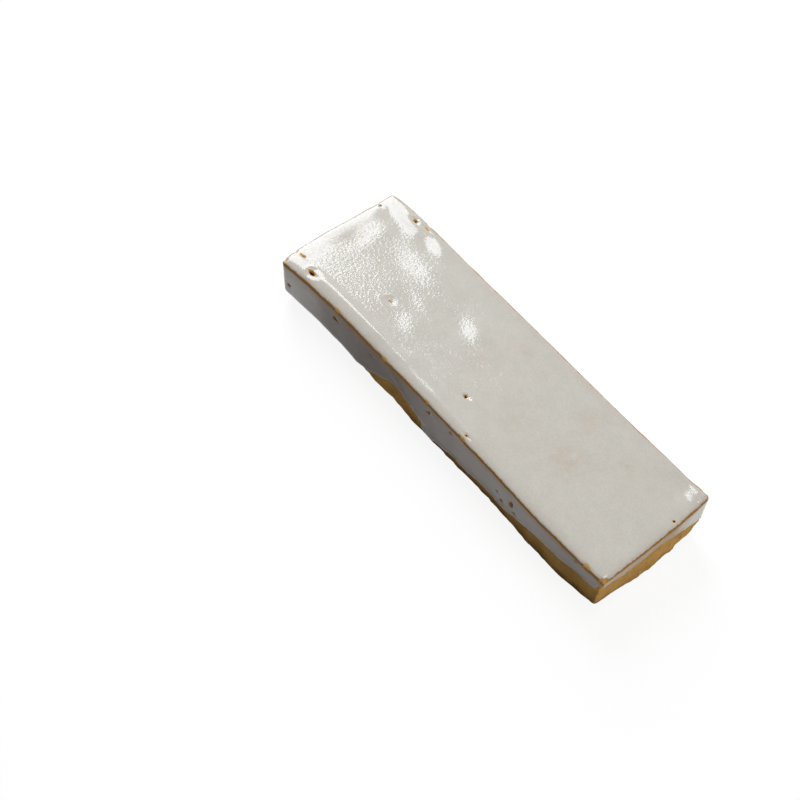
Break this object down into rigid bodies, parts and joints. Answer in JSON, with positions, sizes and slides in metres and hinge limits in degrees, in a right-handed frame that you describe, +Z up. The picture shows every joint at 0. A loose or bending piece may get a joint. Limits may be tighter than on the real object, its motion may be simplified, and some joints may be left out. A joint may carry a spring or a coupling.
{
  "type": "zellige tile",
  "caption": "Thick oblong hand-cut clay tile with a wavy white glazed face, sides drawn in towards a flat bed, small kiln pits and chipped edges.",
  "frame": {"origin": "on the bed, in the middle of the tile's outer box", "axes": "+X along the tile's length towards the end with the bare clay foot, +Y across its width, +Z up out of the glazed face"},
  "size_m": [0.1524, 0.0488, 0.0202],
  "materials": {
    "glazed_clay": "gloss"
  },
  "bodies": {
    "root": {"zellige_tile": "glazed_clay"}
  },
  "joints": []
}
